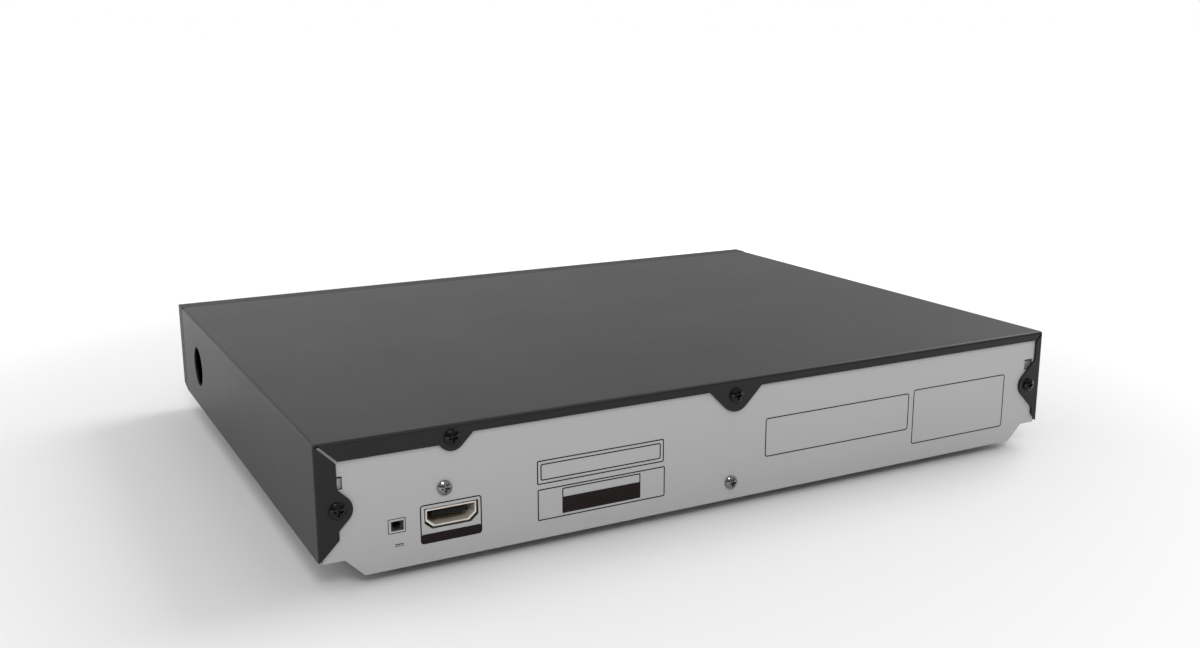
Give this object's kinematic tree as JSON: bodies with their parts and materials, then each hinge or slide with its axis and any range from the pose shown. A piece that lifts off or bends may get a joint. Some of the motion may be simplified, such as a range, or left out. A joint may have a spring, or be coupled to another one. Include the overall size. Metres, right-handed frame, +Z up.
{
  "type": "blu-ray player",
  "caption": "Low flat disc player: folded dark cover on a pressed pan, pale rear panel with picture socket and power inlet, and a motor-driven front tray over a lifting pickup.",
  "frame": {"origin": "on the surface the feet stand on, under the middle of the bounding box", "axes": "+Z up, +Y towards the rear with the connectors, +X to the left of someone who looks at the rear"},
  "size_m": [0.26, 0.1942, 0.0417],
  "materials": {
    "cover_paint": "fine satin charcoal paint on steel sheet",
    "pan_steel": "dark coated steel sheet",
    "panel_paint": "smooth pale grey coated steel sheet",
    "bezel_plastic": "polished black",
    "control_plastic": "satin dark grey",
    "window_smoke": "smoked, polished",
    "foot_rubber": "matt black",
    "screw_black": "black oxide",
    "screw_steel": "bright zinc",
    "socket_nickel": "bright nickel plate",
    "socket_black": "moulded black",
    "board_green": "solder-masked laminate",
    "chip_black": "moulded chip body",
    "bare_aluminium": "extruded or drawn",
    "ferrite": "dark ferrite",
    "ribbon_white": "flat cable film",
    "loader_plastic": "moulded black",
    "tray_plastic": "fine grained black",
    "gear_plastic": "natural acetal",
    "motor_steel": "drawn steel can",
    "ground_steel": "ground rod",
    "pickup_body": "die-cast, dark",
    "lens_glass": "coated lens",
    "lamp_lens": "red, clear"
  },
  "bodies": {
    "chassis": {"top_cover": "cover_paint", "base_pan": "pan_steel", "rear_panel": "panel_paint", "front_bezel": "bezel_plastic", "display_window": "window_smoke", "button_switches": "chip_black", "front_board": "board_green", "usb_shell": "socket_nickel", "usb_tongue": "socket_black", "ir_receiver": "chip_black", "standby_lamp": "lamp_lens", "rubber_feet": "foot_rubber", "cover_screws": "screw_black", "panel_screws": "screw_steel", "bezel_screws": "screw_black", "board_pillars": "screw_steel", "board_screws": "screw_steel", "main_board": "board_green", "hdmi_shell": "socket_nickel", "hdmi_tongue": "socket_black", "dc_jack": "socket_black", "dc_jack_pin": "screw_steel", "processor_chip": "chip_black", "heatsink": "bare_aluminium", "memory_chips": "chip_black", "capacitors": "bare_aluminium", "power_inductors": "ferrite", "ribbon_sockets": "gear_plastic", "front_ribbon": "ribbon_white", "loader_ribbon": "ribbon_white", "loader_frame": "loader_plastic", "loader_screws": "screw_steel", "loading_motor": "motor_steel", "drive_belt": "foot_rubber", "clamp_bridge": "screw_steel"},
    "tray": {"disc_tray": "tray_plastic", "tray_door": "bezel_plastic"},
    "tray_gear": {"tray_gear": "gear_plastic"},
    "pulley_gear": {"pulley_gear": "gear_plastic"},
    "motor_pulley": {"motor_pulley": "screw_steel"},
    "cam_slider": {"cam_slider": "gear_plastic"},
    "traverse": {"traverse_holder": "loader_plastic", "mechanism_plate": "screw_steel", "damper_grommets": "foot_rubber", "guide_rods": "ground_steel", "spindle_motor": "motor_steel", "feed_motor": "motor_steel"},
    "turntable": {"turntable": "tray_plastic"},
    "clamp_puck": {"clamp_puck": "gear_plastic"},
    "pickup": {"optical_pickup": "pickup_body"},
    "lens": {"objective_lens": "lens_glass"},
    "lead_screw": {"lead_screw": "ground_steel"},
    "power_button": {"power_button": "control_plastic", "power_plunger": "socket_black"},
    "eject_button": {"eject_button": "control_plastic", "eject_plunger": "socket_black"},
    "play_button": {"play_button": "control_plastic", "play_plunger": "socket_black"}
  },
  "joints": [
    {"name": "tray_slide", "type": "slide", "parent": "chassis", "child": "tray", "axis": [0, -1, 0], "range_m": [0, 0.134]},
    {"name": "tray_gear_spin", "type": "hinge", "parent": "chassis", "child": "tray_gear", "pos_m": [-0.012, -0.0659, 0.0123], "axis": [0, 0, -1], "range_deg": [0, 855]},
    {"name": "pulley_gear_spin", "type": "hinge", "parent": "chassis", "child": "pulley_gear", "pos_m": [-0.0308, -0.0659, 0.0123], "axis": [0, 0, 1], "range_deg": [0, 1507]},
    {"name": "motor_pulley_spin", "type": "hinge", "parent": "chassis", "child": "motor_pulley", "pos_m": [-0.0748, -0.0659, 0.016], "axis": [0, 0, 1], "range_deg": [0, 6283]},
    {"name": "traverse_tilt", "type": "hinge", "parent": "chassis", "child": "traverse", "pos_m": [-0.046, 0.073, 0.016], "axis": [1, 0, 0], "range_deg": [0, 4.2]},
    {"name": "cam_slide", "type": "slide", "parent": "chassis", "child": "cam_slider", "axis": [-1, 0, 0], "range_m": [0, 0.018]},
    {"name": "turntable_spin", "type": "hinge", "parent": "traverse", "child": "turntable", "pos_m": [-0.046, -0.022, 0.0279], "axis": [0, 0, 1], "continuous": true},
    {"name": "clamp_puck_spin", "type": "hinge", "parent": "chassis", "child": "clamp_puck", "pos_m": [-0.046, -0.022, 0.0317], "axis": [0, 0, 1], "continuous": true},
    {"name": "pickup_feed", "type": "slide", "parent": "traverse", "child": "pickup", "axis": [0, 1, 0], "range_m": [0, 0.033]},
    {"name": "lead_screw_spin", "type": "hinge", "parent": "traverse", "child": "lead_screw", "pos_m": [-0.071, -0.022, 0.0166], "axis": [0, 1, 0], "range_deg": [0, 3962]},
    {"name": "lens_focus", "type": "slide", "parent": "pickup", "child": "lens", "axis": [0, 0, 1], "range_m": [-0.0004, 0.0004], "stiffness_N_per_m": 60},
    {"name": "power_press", "type": "slide", "parent": "chassis", "child": "power_button", "axis": [0, 1, 0], "range_m": [0, 0.0004], "stiffness_N_per_m": 4000},
    {"name": "eject_press", "type": "slide", "parent": "chassis", "child": "eject_button", "axis": [0, 1, 0], "range_m": [0, 0.0004], "stiffness_N_per_m": 4000},
    {"name": "play_press", "type": "slide", "parent": "chassis", "child": "play_button", "axis": [0, 1, 0], "range_m": [0, 0.0004], "stiffness_N_per_m": 4000}
  ],
  "couplings": [
    {"joint": "tray_gear_spin", "follows": "tray_slide", "rad_per_m": 111.11},
    {"joint": "pulley_gear_spin", "follows": "tray_slide", "rad_per_m": 196.08},
    {"joint": "motor_pulley_spin", "follows": "tray_slide", "rad_per_m": 818.12},
    {"joint": "cam_slide", "follows": "traverse_tilt", "m_per_rad": 0.24555},
    {"joint": "clamp_puck_spin", "follows": "turntable_spin", "ratio": 1},
    {"joint": "lead_screw_spin", "follows": "pickup_feed", "rad_per_m": 2094.4}
  ]
}
